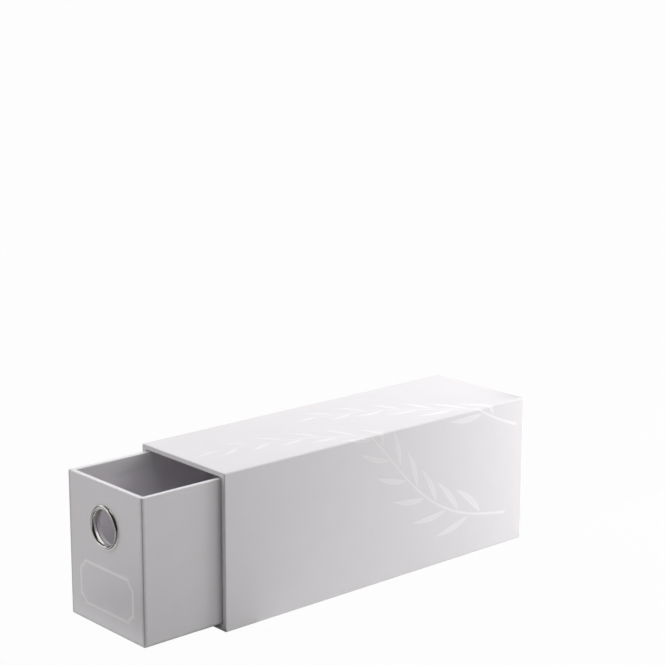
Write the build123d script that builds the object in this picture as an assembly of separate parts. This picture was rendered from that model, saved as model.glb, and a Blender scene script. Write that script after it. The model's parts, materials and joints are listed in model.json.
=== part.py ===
"""Card drawer box: a paper-covered board sleeve, open at one end, with a pull-out drawer for cards.

Frame: +Z up, the drawer pulls out towards -Y, origin at the middle of the sleeve's underside.
Sizes are millimetres. The drawer is drawn partly pulled out, as it stands at rest.
"""

import os

from build123d import *

# Card pocket inside the drawer
POCKET_WIDTH = 72.0
POCKET_LENGTH = 261.0
POCKET_HEIGHT = 92.9

# Boards and papers
DRAWER_BOARD = 3.0
SLEEVE_BOARD = 3.0
SLEEVE_BASE_BOARD = 4.0
PAPER = 0.25
BOARD_EDGE_RADIUS = 1.0

# Room between the drawer and the sleeve
SIDE_GAP = 0.5
FLOOR_GAP = 0.3
ROOF_GAP = 0.7
BACK_GAP = 0.5

# How far the drawer stands out of the sleeve at rest
PULLED_OUT = 60.5

# Covering papers: what is turned in, lapped over and left bare
SLEEVE_TURN_IN = 18.0
DRAWER_TURN_IN = 12.0
LAP = 14.0
SHEET_MARGIN = 2.0
SEAM_GAP = 0.4
DRAWER_SEAM_INSET = 9.0

# Gummed tape that stays the board joints
STAY_TAPE = 0.1
STAY_WIDTH = 12.0
STAY_INSET = 1.5

# Finger ring: a rolled metal eyelet with a washer behind the drawer's front
RING_BORE_RADIUS = 11.5
RING_FLANGE_WIDTH = 3.2
RING_FLANGE_HEIGHT = 1.7
RING_METAL = 0.4
RING_CURL_WIDTH = 1.2
RING_DROP = 28.6
RING_HOLE_GAP = 0.1
WASHER_WIDTH = 1.9
WASHER_THICKNESS = 0.4

# Worked-out sizes of the drawer
DRAWER_WALL = DRAWER_BOARD + 2 * PAPER
DRAWER_FLOOR = DRAWER_BOARD + 3 * PAPER
DRAWER_WIDTH = POCKET_WIDTH + 2 * DRAWER_WALL
DRAWER_LENGTH = POCKET_LENGTH + 2 * DRAWER_WALL
DRAWER_HEIGHT = POCKET_HEIGHT + DRAWER_FLOOR

# Worked-out sizes of the sleeve
SLEEVE_WALL = SLEEVE_BOARD + 2 * PAPER
SLEEVE_FLOOR = SLEEVE_BASE_BOARD + 3 * PAPER
SLEEVE_BACK = SLEEVE_BOARD + 3 * PAPER
SLEEVE_WIDTH = DRAWER_WIDTH + 2 * (SIDE_GAP + SLEEVE_WALL)
SLEEVE_HEIGHT = SLEEVE_FLOOR + FLOOR_GAP + DRAWER_HEIGHT + ROOF_GAP + SLEEVE_WALL
SLEEVE_LENGTH = DRAWER_LENGTH + BACK_GAP + SLEEVE_BACK

# Places along the box
MOUTH_Y = -SLEEVE_LENGTH / 2
TAIL_Y = SLEEVE_LENGTH / 2
DRAWER_FRONT_Y = MOUTH_Y - PULLED_OUT
DRAWER_BACK_Y = DRAWER_FRONT_Y + DRAWER_LENGTH
DRAWER_BASE_Z = SLEEVE_FLOOR + FLOOR_GAP
DRAWER_RIM_Z = DRAWER_BASE_Z + DRAWER_HEIGHT
RING_Z = DRAWER_RIM_Z - RING_DROP
RING_HOLE_RADIUS = RING_BORE_RADIUS + RING_METAL + RING_HOLE_GAP

# A fold of paper round a cut board edge bends at its own thickness
FOLD_RADIUS = PAPER
WRAP_EDGE_RADIUS = BOARD_EDGE_RADIUS + PAPER


def slab(low, high):
    """A rectangular block between two opposite corners."""
    size = [b - a for a, b in zip(low, high)]
    middle = [(a + b) / 2 for a, b in zip(low, high)]
    return Pos(*middle) * Box(*size)


def tube(half_width, y_ends, z_ends, wall):
    """A rectangular tube along Y, from its outside size and its wall."""
    outside = slab((-half_width, y_ends[0], z_ends[0]), (half_width, y_ends[1], z_ends[1]))
    inner = half_width - wall
    inside = slab((-inner, y_ends[0], z_ends[0] + wall), (inner, y_ends[1], z_ends[1] - wall))
    return outside - inside


def ring_hole(y_ends):
    """The round cut that lets the finger ring through the drawer's front."""
    depth = y_ends[1] - y_ends[0]
    middle = Pos(0, (y_ends[0] + y_ends[1]) / 2, RING_Z)
    return middle * Rot(X=90) * Cylinder(RING_HOLE_RADIUS, depth)


# Sleeve

# Faces of the sleeve's boards, inside and outside
BOARD_HALF = SLEEVE_WIDTH / 2 - PAPER
BOARD_INNER_HALF = BOARD_HALF - SLEEVE_BOARD
BOARD_BASE_Z = 2 * PAPER
BOARD_FLOOR_Z = BOARD_BASE_Z + SLEEVE_BASE_BOARD
BOARD_TOP_Z = SLEEVE_HEIGHT - PAPER
BOARD_ROOF_Z = BOARD_TOP_Z - SLEEVE_BOARD
BOARD_MOUTH_Y = MOUTH_Y + PAPER
BOARD_TAIL_Y = TAIL_Y - 2 * PAPER
TURN_IN_Y = MOUTH_Y + SLEEVE_TURN_IN


def sleeve_core(growth=0.0):
    """The block that the sleeve's boards fill, with softened long edges, grown sideways by a skin."""
    half = BOARD_HALF + growth
    low = (-half, BOARD_MOUTH_Y, BOARD_BASE_Z - growth)
    high = (half, BOARD_TAIL_Y, BOARD_TOP_Z + growth)
    block = slab(low, high)
    return fillet(block.edges().filter_by(Axis.Y), BOARD_EDGE_RADIUS + growth)


def sleeve_boards():
    """Top and bottom boards run full width, the sides stand between them, the back sits inside all four."""
    core = sleeve_core()
    tail_inner_y = BOARD_TAIL_Y - SLEEVE_BOARD
    top = slab((-BOARD_HALF, BOARD_MOUTH_Y, BOARD_ROOF_Z), (BOARD_HALF, BOARD_TAIL_Y, BOARD_TOP_Z))
    bottom = slab((-BOARD_HALF, BOARD_MOUTH_Y, BOARD_BASE_Z), (BOARD_HALF, BOARD_TAIL_Y, BOARD_FLOOR_Z))
    left = slab(
        (-BOARD_HALF, BOARD_MOUTH_Y, BOARD_FLOOR_Z), (-BOARD_INNER_HALF, BOARD_TAIL_Y, BOARD_ROOF_Z)
    )
    right = slab(
        (BOARD_INNER_HALF, BOARD_MOUTH_Y, BOARD_FLOOR_Z), (BOARD_HALF, BOARD_TAIL_Y, BOARD_ROOF_Z)
    )
    back = slab(
        (-BOARD_INNER_HALF, tail_inner_y, BOARD_FLOOR_Z), (BOARD_INNER_HALF, BOARD_TAIL_Y, BOARD_ROOF_Z)
    )
    return {
        "sleeve_top_board": top & core,
        "sleeve_bottom_board": bottom & core,
        "sleeve_left_board": left,
        "sleeve_right_board": right,
        "sleeve_back_board": back,
    }


def sleeve_stays():
    """Gummed tape folded along each of the sleeve's four long edges."""
    tape = sleeve_core(STAY_TAPE) - sleeve_core()
    y_ends = (BOARD_MOUTH_Y + STAY_INSET, BOARD_TAIL_Y - STAY_INSET)
    out = BOARD_HALF + STAY_TAPE
    z_low = BOARD_BASE_Z - STAY_TAPE
    z_high = BOARD_TOP_Z + STAY_TAPE
    stays = {}
    sides = {"left": (-out, -out + STAY_WIDTH), "right": (out - STAY_WIDTH, out)}
    levels = {"bottom": (z_low, z_low + STAY_WIDTH), "top": (z_high - STAY_WIDTH, z_high)}
    for side, x_ends in sides.items():
        for level, z_ends in levels.items():
            corner = slab((x_ends[0], y_ends[0], z_ends[0]), (x_ends[1], y_ends[1], z_ends[1]))
            stays[f"sleeve_stay_{level}_{side}"] = tape & corner
    return stays


def sleeve_wrap(stays):
    """One printed sheet round four sides, turned in at the mouth, lapped over the back, butted below."""
    half = SLEEVE_WIDTH / 2
    block = slab((-half, MOUTH_Y, PAPER), (half, TAIL_Y - PAPER, SLEEVE_HEIGHT))
    block = fillet(block.edges().filter_by(Axis.Y), WRAP_EDGE_RADIUS)
    block = fillet(block.edges().group_by(Axis.Y)[0], FOLD_RADIUS)
    block = fillet(block.edges().group_by(Axis.Y)[-1], FOLD_RADIUS)
    boards = sleeve_core() - slab(
        (-BOARD_INNER_HALF, BOARD_MOUTH_Y, BOARD_FLOOR_Z), (BOARD_INNER_HALF, BOARD_TAIL_Y, BOARD_ROOF_Z)
    )
    clear_half = BOARD_INNER_HALF - PAPER
    mouth = slab(
        (-clear_half, MOUTH_Y, BOARD_FLOOR_Z + PAPER), (clear_half, TURN_IN_Y, BOARD_ROOF_Z - PAPER)
    )
    inside = slab(
        (-BOARD_INNER_HALF, TURN_IN_Y, BOARD_FLOOR_Z), (BOARD_INNER_HALF, BOARD_TAIL_Y, BOARD_ROOF_Z)
    )
    back_window = slab(
        (-half + LAP, BOARD_TAIL_Y, PAPER + LAP), (half - LAP, TAIL_Y, SLEEVE_HEIGHT - LAP)
    )
    seam = slab((-SEAM_GAP / 2, MOUTH_Y, PAPER), (SEAM_GAP / 2, TAIL_Y, BOARD_FLOOR_Z + PAPER))
    skin = block - boards - mouth - inside - back_window - seam
    for stay in stays.values():
        skin -= stay
    return skin


def sleeve_sheets():
    """Plain sheets that hide the wrap's seam below and its laps behind."""
    half = SLEEVE_WIDTH / 2 - SHEET_MARGIN
    base = slab((-half, MOUTH_Y + SHEET_MARGIN, 0), (half, TAIL_Y - PAPER - SHEET_MARGIN, PAPER))
    back = slab(
        (-half, TAIL_Y - PAPER, PAPER + SHEET_MARGIN), (half, TAIL_Y, SLEEVE_HEIGHT - SHEET_MARGIN)
    )
    return {"sleeve_base_sheet": base, "sleeve_back_sheet": back}


def sleeve_linings():
    """A lining round the inside walls, from the turned-in edge to the back, and one on the back board."""
    tail_inner_y = BOARD_TAIL_Y - SLEEVE_BOARD
    walls = tube(BOARD_INNER_HALF, (TURN_IN_Y, tail_inner_y), (BOARD_FLOOR_Z, BOARD_ROOF_Z), PAPER)
    walls -= slab(
        (-SEAM_GAP / 2, TURN_IN_Y, BOARD_FLOOR_Z), (SEAM_GAP / 2, tail_inner_y, BOARD_FLOOR_Z + PAPER)
    )
    half = BOARD_INNER_HALF - PAPER
    back = slab(
        (-half, tail_inner_y - PAPER, BOARD_FLOOR_Z + PAPER), (half, tail_inner_y, BOARD_ROOF_Z - PAPER)
    )
    return {"sleeve_lining": walls, "sleeve_back_lining": back}


# Drawer

# Faces of the drawer's boards, inside and outside
DRAWER_HALF = DRAWER_WIDTH / 2 - PAPER
DRAWER_INNER_HALF = DRAWER_HALF - DRAWER_BOARD
DRAWER_BOARD_FRONT_Y = DRAWER_FRONT_Y + PAPER
DRAWER_BOARD_BACK_Y = DRAWER_BACK_Y - PAPER
DRAWER_INNER_FRONT_Y = DRAWER_BOARD_FRONT_Y + DRAWER_BOARD
DRAWER_INNER_BACK_Y = DRAWER_BOARD_BACK_Y - DRAWER_BOARD
DRAWER_BOARD_BASE_Z = DRAWER_BASE_Z + 2 * PAPER
DRAWER_BOARD_FLOOR_Z = DRAWER_BOARD_BASE_Z + DRAWER_BOARD
DRAWER_BOARD_RIM_Z = DRAWER_RIM_Z - PAPER
DRAWER_TURN_IN_Z = DRAWER_RIM_Z - DRAWER_TURN_IN


def drawer_core(growth=0.0):
    """The block that the drawer's boards stand in, with softened upright edges, grown by a skin."""
    half = DRAWER_HALF + growth
    low = (-half, DRAWER_BOARD_FRONT_Y - growth, DRAWER_BOARD_BASE_Z)
    high = (half, DRAWER_BOARD_BACK_Y + growth, DRAWER_BOARD_RIM_Z)
    block = slab(low, high)
    return fillet(block.edges().filter_by(Axis.Z), BOARD_EDGE_RADIUS + growth)


def drawer_boards():
    """Front and back boards run full width, the sides stand between them, the bottom sits inside."""
    core = drawer_core()
    z_ends = (DRAWER_BOARD_BASE_Z, DRAWER_BOARD_RIM_Z)
    front = slab(
        (-DRAWER_HALF, DRAWER_BOARD_FRONT_Y, z_ends[0]),
        (DRAWER_HALF, DRAWER_INNER_FRONT_Y, z_ends[1]),
    )
    back = slab(
        (-DRAWER_HALF, DRAWER_INNER_BACK_Y, z_ends[0]),
        (DRAWER_HALF, DRAWER_BOARD_BACK_Y, z_ends[1]),
    )
    left = slab(
        (-DRAWER_HALF, DRAWER_INNER_FRONT_Y, z_ends[0]),
        (-DRAWER_INNER_HALF, DRAWER_INNER_BACK_Y, z_ends[1]),
    )
    right = slab(
        (DRAWER_INNER_HALF, DRAWER_INNER_FRONT_Y, z_ends[0]),
        (DRAWER_HALF, DRAWER_INNER_BACK_Y, z_ends[1]),
    )
    bottom = slab(
        (-DRAWER_INNER_HALF, DRAWER_INNER_FRONT_Y, z_ends[0]),
        (DRAWER_INNER_HALF, DRAWER_INNER_BACK_Y, DRAWER_BOARD_FLOOR_Z),
    )
    return {
        "drawer_front_board": (front & core) - ring_hole((DRAWER_BOARD_FRONT_Y, DRAWER_INNER_FRONT_Y)),
        "drawer_back_board": back & core,
        "drawer_left_board": left,
        "drawer_right_board": right,
        "drawer_bottom_board": bottom,
    }


def drawer_stays():
    """Gummed tape folded round each of the drawer's four upright corners."""
    tape = drawer_core(STAY_TAPE) - drawer_core()
    z_ends = (DRAWER_BOARD_BASE_Z + STAY_INSET, DRAWER_BOARD_RIM_Z - STAY_INSET)
    out = DRAWER_HALF + STAY_TAPE
    y_front = DRAWER_BOARD_FRONT_Y - STAY_TAPE
    y_back = DRAWER_BOARD_BACK_Y + STAY_TAPE
    stays = {}
    sides = {"left": (-out, -out + STAY_WIDTH), "right": (out - STAY_WIDTH, out)}
    ends = {"front": (y_front, y_front + STAY_WIDTH), "back": (y_back - STAY_WIDTH, y_back)}
    for side, x_ends in sides.items():
        for end, y_ends in ends.items():
            corner = slab((x_ends[0], y_ends[0], z_ends[0]), (x_ends[1], y_ends[1], z_ends[1]))
            stays[f"drawer_stay_{end}_{side}"] = tape & corner
    return stays


def drawer_wrap(stays):
    """One sheet round the four walls, turned in over the rim, lapped below, with a seam behind."""
    half = DRAWER_WIDTH / 2
    block = slab((-half, DRAWER_FRONT_Y, DRAWER_BASE_Z + PAPER), (half, DRAWER_BACK_Y, DRAWER_RIM_Z))
    block = fillet(block.edges().filter_by(Axis.Z), WRAP_EDGE_RADIUS)
    block = fillet(block.edges().group_by(Axis.Z)[0], FOLD_RADIUS)
    block = fillet(block.edges().group_by(Axis.Z)[-1], FOLD_RADIUS)
    walls = drawer_core() - slab(
        (-DRAWER_INNER_HALF, DRAWER_INNER_FRONT_Y, DRAWER_BOARD_BASE_Z),
        (DRAWER_INNER_HALF, DRAWER_INNER_BACK_Y, DRAWER_BOARD_RIM_Z),
    )
    pocket = slab(
        (-POCKET_WIDTH / 2, DRAWER_INNER_FRONT_Y + PAPER, DRAWER_TURN_IN_Z),
        (POCKET_WIDTH / 2, DRAWER_INNER_BACK_Y - PAPER, DRAWER_RIM_Z),
    )
    inside = slab(
        (-DRAWER_INNER_HALF, DRAWER_INNER_FRONT_Y, DRAWER_BOARD_BASE_Z),
        (DRAWER_INNER_HALF, DRAWER_INNER_BACK_Y, DRAWER_TURN_IN_Z),
    )
    base_window = slab(
        (-half + LAP, DRAWER_FRONT_Y + LAP, DRAWER_BASE_Z),
        (half - LAP, DRAWER_BACK_Y - LAP, DRAWER_BOARD_BASE_Z),
    )
    seam_x = half - DRAWER_SEAM_INSET
    seam = slab(
        (seam_x - SEAM_GAP, DRAWER_INNER_BACK_Y - PAPER, DRAWER_BASE_Z),
        (seam_x, DRAWER_BACK_Y, DRAWER_RIM_Z),
    )
    skin = block - walls - pocket - inside - base_window - seam
    skin -= ring_hole((DRAWER_FRONT_Y, DRAWER_BOARD_FRONT_Y))
    for stay in stays.values():
        skin -= stay
    return skin


def drawer_sheets():
    """A base sheet over the laps, a lining round the inside walls and one on the floor."""
    half = DRAWER_WIDTH / 2 - SHEET_MARGIN
    base = slab(
        (-half, DRAWER_FRONT_Y + SHEET_MARGIN, DRAWER_BASE_Z),
        (half, DRAWER_BACK_Y - SHEET_MARGIN, DRAWER_BASE_Z + PAPER),
    )
    outer = slab(
        (-DRAWER_INNER_HALF, DRAWER_INNER_FRONT_Y, DRAWER_BOARD_FLOOR_Z),
        (DRAWER_INNER_HALF, DRAWER_INNER_BACK_Y, DRAWER_TURN_IN_Z),
    )
    inner = slab(
        (-POCKET_WIDTH / 2, DRAWER_INNER_FRONT_Y + PAPER, DRAWER_BOARD_FLOOR_Z),
        (POCKET_WIDTH / 2, DRAWER_INNER_BACK_Y - PAPER, DRAWER_TURN_IN_Z),
    )
    walls = outer - inner - ring_hole((DRAWER_INNER_FRONT_Y, DRAWER_INNER_FRONT_Y + PAPER))
    floor = slab(
        (-POCKET_WIDTH / 2, DRAWER_INNER_FRONT_Y + PAPER, DRAWER_BOARD_FLOOR_Z),
        (POCKET_WIDTH / 2, DRAWER_INNER_BACK_Y - PAPER, DRAWER_BOARD_FLOOR_Z + PAPER),
    )
    return {"drawer_base_sheet": base, "drawer_lining": walls, "drawer_floor_lining": floor}


# Finger ring

def rolled_ring():
    """A drawn eyelet: a rounded flange in front, a barrel through the wall, a curl over the washer."""
    bore = RING_BORE_RADIUS
    barrel = bore + RING_METAL
    roll = RING_FLANGE_WIDTH / 2
    curl = RING_CURL_WIDTH / 2
    curl_y = DRAWER_WALL + WASHER_THICKNESS
    flange_middle = bore + roll
    curl_middle = bore + curl
    face_arc = EllipticalCenterArc(
        (flange_middle, 0), roll, RING_FLANGE_HEIGHT, start_angle=180, arc_size=180
    )
    bore_line = Line((bore, 0), (bore, curl_y))
    curl_arc = ThreePointArc((bore, curl_y), (curl_middle, curl_y + curl), (bore + 2 * curl, curl_y))
    curl_lip = Line((bore + 2 * curl, curl_y), (bore + 2 * curl - RING_METAL, curl_y))
    curl_back = ThreePointArc(
        (bore + 2 * curl - RING_METAL, curl_y), (curl_middle, curl_y + curl - RING_METAL), (barrel, curl_y)
    )
    barrel_line = Line((barrel, curl_y), (barrel, 0))
    face_back = EllipticalCenterArc(
        (flange_middle, 0), roll - RING_METAL, RING_FLANGE_HEIGHT - RING_METAL,
        start_angle=180, arc_size=180,
    )
    face_lip = Line((bore + 2 * roll - RING_METAL, 0), (bore + 2 * roll, 0))
    outline = Curve() + [
        face_arc, bore_line, curl_arc, curl_lip, curl_back, barrel_line, face_back, face_lip
    ]
    ring = revolve(make_face(outline), Axis.Y)
    return Pos(0, DRAWER_FRONT_Y, RING_Z) * ring


def ring_washer():
    """The flat washer that the curl grips behind the drawer's front."""
    hole = Cylinder(RING_HOLE_RADIUS, WASHER_THICKNESS)
    disc = Cylinder(RING_HOLE_RADIUS + WASHER_WIDTH, WASHER_THICKNESS)
    middle = Pos(0, DRAWER_FRONT_Y + DRAWER_WALL + WASHER_THICKNESS / 2, RING_Z)
    return middle * Rot(X=90) * (disc - hole)


def build():
    """Every piece of the box, by name."""
    sleeve_tapes = sleeve_stays()
    drawer_tapes = drawer_stays()
    return {
        **sleeve_boards(),
        **sleeve_tapes,
        "sleeve_wrap": sleeve_wrap(sleeve_tapes),
        **sleeve_sheets(),
        **sleeve_linings(),
        **drawer_boards(),
        **drawer_tapes,
        "drawer_wrap": drawer_wrap(drawer_tapes),
        **drawer_sheets(),
        "finger_ring": rolled_ring(),
        "ring_washer": ring_washer(),
    }


def main():
    os.makedirs("parts", exist_ok=True)
    for name, piece in build().items():
        export_step(piece, f"parts/{name}.step")
    print(f"sleeve {SLEEVE_WIDTH:.2f} x {SLEEVE_LENGTH:.2f} x {SLEEVE_HEIGHT:.2f}")
    print(f"drawer {DRAWER_WIDTH:.2f} x {DRAWER_LENGTH:.2f} x {DRAWER_HEIGHT:.2f}")


main()
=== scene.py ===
"""Looks of a card drawer box: a paper-covered board sleeve with a drawer that pulls out of it.

Laid out as an add-on and run as a script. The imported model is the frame. The covering papers are folded
over its boards, the finger ring is rolled, the label frame and the leaf spray are printed, and a white
stage is set. Lengths are metres.
"""

import json
from collections import namedtuple
from math import atan2, cos, pi, radians, sin

import bmesh
import bpy
from bpy.props import FloatProperty, FloatVectorProperty, IntProperty, PointerProperty
from mathutils import Matrix, Vector


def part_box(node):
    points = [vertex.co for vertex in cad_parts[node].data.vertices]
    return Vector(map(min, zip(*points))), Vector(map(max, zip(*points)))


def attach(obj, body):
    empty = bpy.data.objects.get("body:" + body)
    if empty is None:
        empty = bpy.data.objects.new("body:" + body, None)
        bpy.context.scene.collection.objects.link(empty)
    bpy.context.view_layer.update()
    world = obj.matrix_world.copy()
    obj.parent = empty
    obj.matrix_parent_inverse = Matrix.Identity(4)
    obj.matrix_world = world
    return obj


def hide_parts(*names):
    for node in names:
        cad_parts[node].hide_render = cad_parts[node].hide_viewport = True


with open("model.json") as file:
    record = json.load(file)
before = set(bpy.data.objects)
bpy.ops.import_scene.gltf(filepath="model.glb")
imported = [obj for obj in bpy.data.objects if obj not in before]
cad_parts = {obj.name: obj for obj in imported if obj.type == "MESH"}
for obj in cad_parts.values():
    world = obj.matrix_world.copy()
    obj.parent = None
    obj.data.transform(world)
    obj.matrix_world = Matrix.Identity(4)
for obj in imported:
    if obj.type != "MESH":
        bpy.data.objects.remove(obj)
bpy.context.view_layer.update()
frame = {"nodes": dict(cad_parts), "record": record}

bl_info = {
    "name": "Card drawer box",
    "version": (1, 0, 0),
    "blender": (4, 5, 0),
    "location": "View3D > Sidebar > Card box",
    "description": "Covers, prints and finishes a board box for cards with a pull-out drawer",
    "category": "Object",
}

MM = 0.001
X, Y, Z = range(3)
NEAR = 0.01 * MM
ORIGIN = (0.0, 0.0, 0.0)

# Places and sizes read from the frame
SLEEVE_LOW, SLEEVE_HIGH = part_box("sleeve_wrap")
DRAWER_LOW, DRAWER_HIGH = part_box("drawer_wrap")
RING_LOW, RING_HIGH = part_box("finger_ring")
BASE_LOW, BASE_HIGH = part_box("sleeve_base_sheet")
SHEET = BASE_HIGH.z - BASE_LOW.z
SLEEVE_LINING_LOW, SLEEVE_LINING_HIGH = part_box("sleeve_lining")
DRAWER_LINING_LOW, DRAWER_LINING_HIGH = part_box("drawer_lining")
SLEEVE_TURN_IN = SLEEVE_LINING_LOW.y - SLEEVE_LOW.y
DRAWER_TURN_IN = DRAWER_HIGH.z - DRAWER_LINING_HIGH.z
DRAWER_WALL = DRAWER_LINING_LOW.x + SHEET - DRAWER_LOW.x
HOLE_MOUNT = next(mount for mount in frame["record"]["mounts"] if mount["name"] == "finger_hole")
RING_BORE = HOLE_MOUNT["dims"]["r_mm"] * MM
RING_GRIP = HOLE_MOUNT["dims"]["length_mm"] * MM
RING_Z = HOLE_MOUNT["pos_m"][Z]
RING_FLANGE = RING_HIGH.x - RING_BORE
RING_ROLL = DRAWER_LOW.y - RING_LOW.y
RING_CURL = RING_HIGH.y - DRAWER_LOW.y - RING_GRIP


# Settings

LENGTH_DIGITS = 5


def length(name, description, default):
    """A length that a user may change."""
    return FloatProperty(
        name=name, description=description, default=default, min=0.0, unit="LENGTH", precision=LENGTH_DIGITS
    )


def colour(name, description, default):
    """A colour that a user may change."""
    return FloatVectorProperty(
        name=name, description=description, default=default, size=3, min=0.0, max=1.0, subtype="COLOR"
    )


class CoverSizes(bpy.types.PropertyGroup):
    """How the covering papers are cut and folded"""

    paper: length("Paper", "Thickness of the covering papers", 0.12 * MM)
    sleeve_radius: length("Sleeve radius", "Roundness of a fold along the sleeve's edge", 1.25 * MM)
    drawer_radius: length("Drawer radius", "Roundness of a fold along the drawer's corner", 0.8 * MM)
    fold_radius: length("Fold radius", "Roundness of a fold round a board's cut end", 0.7 * MM)
    sleeve_turn_in: length("Sleeve turn-in", "Paper turned in at the sleeve's mouth", SLEEVE_TURN_IN)
    drawer_turn_in: length("Drawer turn-in", "Paper turned in over the drawer's rim", DRAWER_TURN_IN)
    lap: length("Lap", "Paper lapped over the closed end", 14.0 * MM)
    seam: length("Seam", "Gap between the sheet's two ends", 0.4 * MM)
    seam_inset: length("Seam inset", "Place of the drawer's seam, in from its corner", 9.0 * MM)
    ring_hole: length("Ring hole", "Radius of the hole for the finger ring", RING_BORE + 0.5 * MM)


class RingSizes(bpy.types.PropertyGroup):
    """The rolled finger ring"""

    bore: length("Bore", "Inside radius", RING_BORE)
    flange: length("Flange", "Width of the front flange", RING_FLANGE)
    roll: length("Roll", "Height of the front flange's roll", RING_ROLL)
    curl: length("Curl", "Radius of the curl behind the wall", RING_CURL)
    grip: length("Grip", "Length of the barrel between flange and curl", RING_GRIP)
    metal: length("Metal", "Thickness of the ring's metal", 0.4 * MM)
    turns: IntProperty(name="Steps", description="Steps round the ring", default=128, min=24)


class PrintSizes(bpy.types.PropertyGroup):
    """The label frame on the drawer and the leaf spray on the sleeve"""

    film: length("Film", "Thickness of the printed film", 0.02 * MM)
    label_width: length("Label width", "Width of the label frame", 58.0 * MM)
    label_height: length("Label height", "Height of the label frame", 30.0 * MM)
    label_drop: length("Label drop", "Middle of the label frame, below the drawer's rim", 70.5 * MM)
    label_line: length("Label line", "Width of the label frame's line", 1.9 * MM)
    label_scoop: length("Label scoop", "Radius of the label frame's hollowed corners", 5.0 * MM)
    leaf_length: length("Leaf length", "Length of the longest leaf", 34.0 * MM)
    leaf_width: length("Leaf width", "Width of the longest leaf", 5.0 * MM)
    stem_width: length("Stem width", "Width of a stem at its foot", 2.0 * MM)


class BoxColours(bpy.types.PropertyGroup):
    """Colours of the box and its stage"""

    paper: colour("Paper", "Printed covering paper", (0.80, 0.78, 0.797))
    # Greyed folds: partly rubbed by handling, partly painted shade along the drawer's corners and foot
    worn_and_shaded: colour("Worn and shaded folds", "Paper where it is folded and handled, darkened further by painted shade", (0.625, 0.611, 0.622))
    ink: colour("Print", "Pale print on the covering paper", (0.895, 0.875, 0.89))
    lining: colour("Lining", "Plain paper inside and underneath", (0.79, 0.765, 0.805))
    board: colour("Board", "Greyboard", (0.42, 0.40, 0.37))
    tape: colour("Tape", "Gummed tape on the board joints", (0.56, 0.43, 0.28))
    nickel: colour("Nickel", "Plated finger ring", (0.82, 0.80, 0.77))
    # Inside the ring: a less shiny plate, darkened further by painted shade in the hole
    dull_and_shaded: colour("Dull, shaded metal", "Finger ring inside, where the plate is thin and painted shade darkens it", (0.5, 0.485, 0.51))
    floor: colour("Floor", "Floor under the box", (0.2, 0.2, 0.2))
    card: colour("Dark card", "Dark card on the camera's side of the stage", (0.03, 0.03, 0.03))


class CardBoxSettings(bpy.types.PropertyGroup):
    """All settings of the card drawer box"""

    cover: PointerProperty(type=CoverSizes)
    ring: PointerProperty(type=RingSizes)
    prints: PointerProperty(type=PrintSizes)
    colours: PointerProperty(type=BoxColours)


# Modelling by hand, in code

UNIT = 1.0
SMOOTH_ANGLE = radians(40)


def deselect():
    """Leave every object unselected, so that the next operator acts on its own piece alone."""
    bpy.ops.object.select_all(action="DESELECT")


def settle(name):
    """Name the active object and move its place into its mesh."""
    piece = bpy.context.object
    piece.name = name
    piece.data.name = name
    bpy.ops.object.transform_apply(location=True, rotation=True, scale=True)
    return piece


def start_block(name, low, high):
    """Add a block between two corners."""
    deselect()
    bpy.ops.mesh.primitive_cube_add(size=UNIT, location=(low + high) / 2, scale=high - low)
    return settle(name)


def take_up(piece):
    """Make a piece the only selected object."""
    deselect()
    piece.select_set(True)
    bpy.context.view_layer.objects.active = piece


def edit(piece):
    """Open a piece in edit mode."""
    take_up(piece)
    bpy.ops.object.mode_set(mode="EDIT")


def close():
    """Leave edit mode."""
    bpy.ops.object.mode_set(mode="OBJECT")


def select_whole():
    """Select the whole of the piece that is open."""
    bpy.ops.mesh.select_all(action="SELECT")


def choose(piece, kind, test):
    """Select only the vertices, edges or faces that pass a test."""
    bpy.ops.mesh.select_mode(type=kind)
    bpy.ops.mesh.select_all(action="DESELECT")
    mesh = bmesh.from_edit_mesh(piece.data)
    parts = {"VERT": mesh.verts, "EDGE": mesh.edges, "FACE": mesh.faces}[kind]
    for part in parts:
        part.select_set(test(part))
    mesh.select_flush_mode()
    bmesh.update_edit_mesh(piece.data)


def pull_out(shift):
    """Extrude what is selected by a shift."""
    bpy.ops.mesh.extrude_region_move(TRANSFORM_OT_translate={"value": shift})


def turn(angle, axis, centre):
    """Turn what is selected, counter-clockwise as seen from the axis' positive end."""
    bpy.ops.transform.rotate(value=-angle, orient_axis=axis, center_override=centre)


def apply_modifier(piece, kind, **options):
    """Add a modifier with these options and apply it."""
    take_up(piece)
    modifier = piece.modifiers.new(kind.lower(), kind)
    for option, value in options.items():
        setattr(modifier, option, value)
    bpy.ops.object.modifier_apply(modifier=modifier.name)


def thicken(piece, thickness, outwards=False):
    """Give a sheet its thickness, behind its faces or in front of them."""
    side = 1.0 if outwards else -1.0
    apply_modifier(piece, "SOLIDIFY", thickness=thickness, offset=side, use_even_offset=not outwards)


def smooth(piece, angle=SMOOTH_ANGLE):
    """Shade rounded folds smooth and keep flat faces flat."""
    take_up(piece)
    bpy.ops.object.shade_smooth_by_angle(angle=angle)
    apply_modifier(piece, "WEIGHTED_NORMAL", keep_sharp=True)


def on_plane(edge, axis, place):
    """Whether both ends of an edge lie on a plane square to an axis."""
    return all(abs(vertex.co[axis] - place) < NEAR for vertex in edge.verts)


def runs_along(edge, axis):
    """Whether an edge is parallel to an axis."""
    line = edge.verts[1].co - edge.verts[0].co
    return abs(line[axis]) > line.length - NEAR


def dress(piece, body, material):
    """Give a new piece its finish and the body that it moves with."""
    piece.data.materials.clear()
    piece.data.materials.append(material)
    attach(piece, body)


def paint_nodes(material, *names):
    """Give CAD nodes that stay in view their finish."""
    for name in names:
        node = frame["nodes"][name]
        node.data.materials.clear()
        node.data.materials.append(material)


# Shader nodes

NOISE_DETAIL = 2.0
# A mix node's colour sockets, by their place among its inputs and outputs
MIX_COLOURS = (6, 7)
MIX_RESULT = 2


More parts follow.
